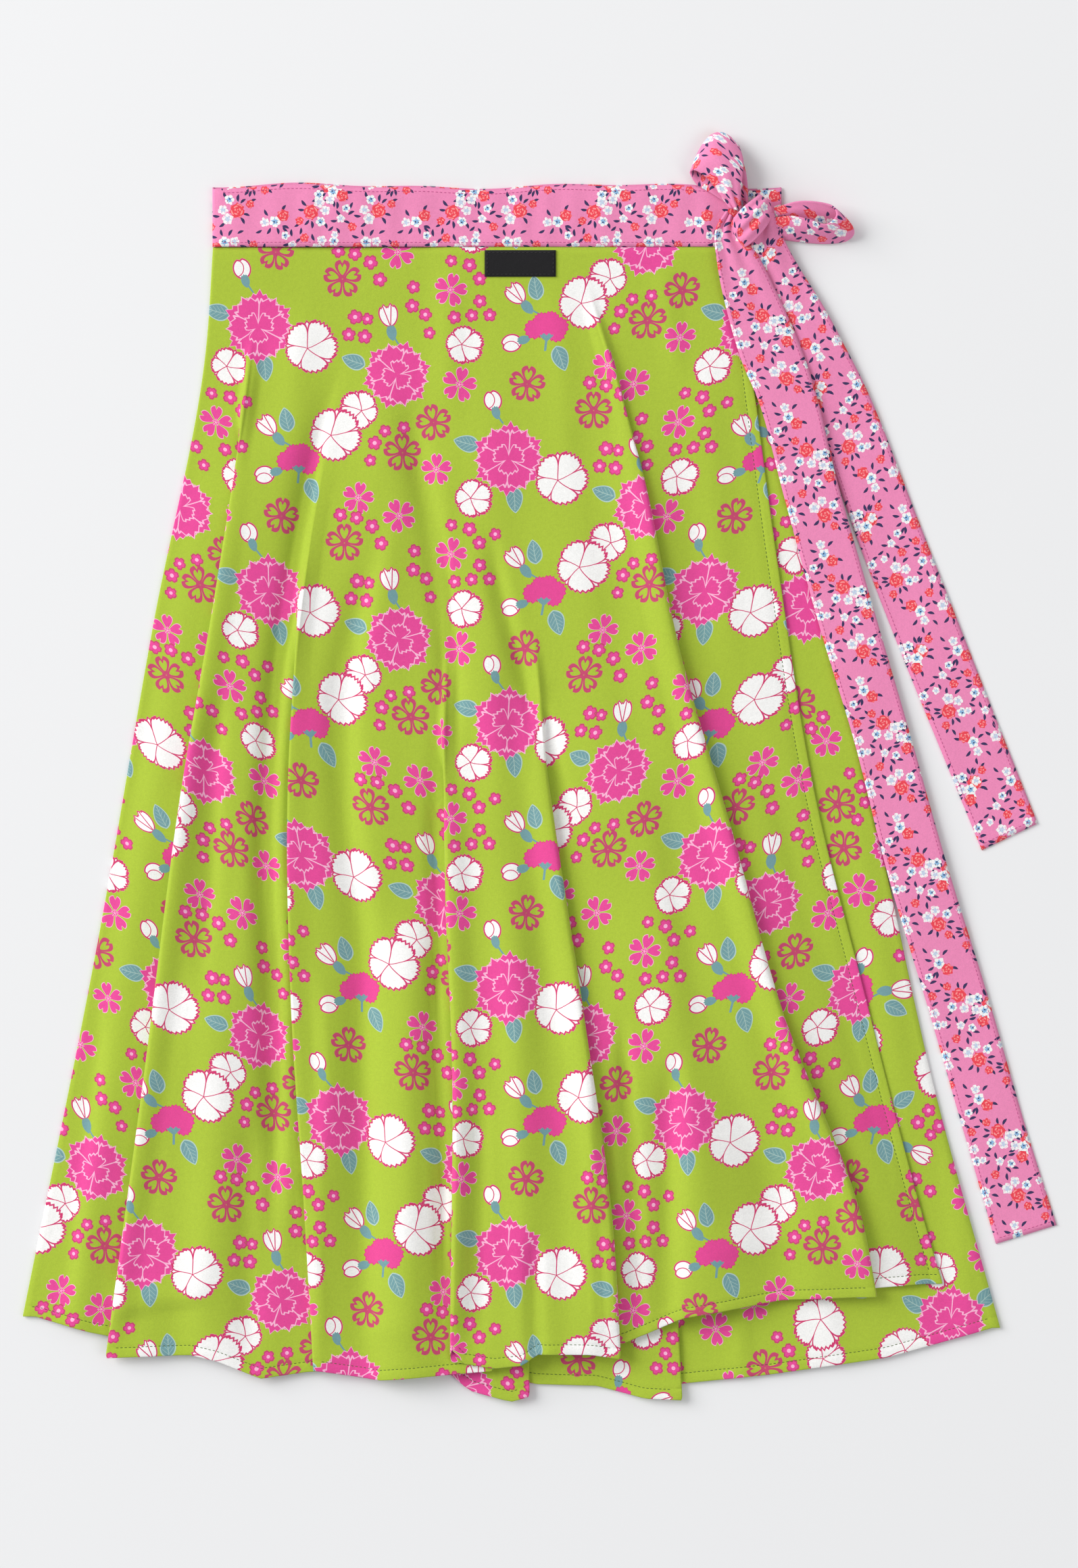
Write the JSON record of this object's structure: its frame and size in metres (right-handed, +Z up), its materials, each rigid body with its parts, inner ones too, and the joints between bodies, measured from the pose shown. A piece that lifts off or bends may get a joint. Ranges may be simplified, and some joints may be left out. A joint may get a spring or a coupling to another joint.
{
  "type": "wrap skirt",
  "caption": "Flared wrap skirt with a contrast waistband, laid flat with its ties in a bow at one side.",
  "frame": {"origin": "middle of the laid skirt's outline, with ties and bow, on the surface it lies on", "axes": "+Z up from the surface, +Y from hem to waistband, +X towards the bow's side"},
  "size_m": [0.6586, 0.8048, 0.0195],
  "materials": {
    "floral_cloth": "plain-woven lightweight cloth, lime green with a pink, white and grey-teal floral print",
    "ditsy_cloth": "plain-woven lightweight cloth, pink with a small floral print",
    "label_weave": "plain black woven patch"
  },
  "bodies": {
    "root": {"front_over": "floral_cloth", "front_under": "floral_cloth", "back_panel": "floral_cloth", "waistband": "ditsy_cloth", "tie_long": "ditsy_cloth", "tie_short": "ditsy_cloth", "bow_loop_upper": "ditsy_cloth", "bow_loop_side": "ditsy_cloth", "bow_knot": "ditsy_cloth", "label_patch": "label_weave"}
  },
  "joints": []
}
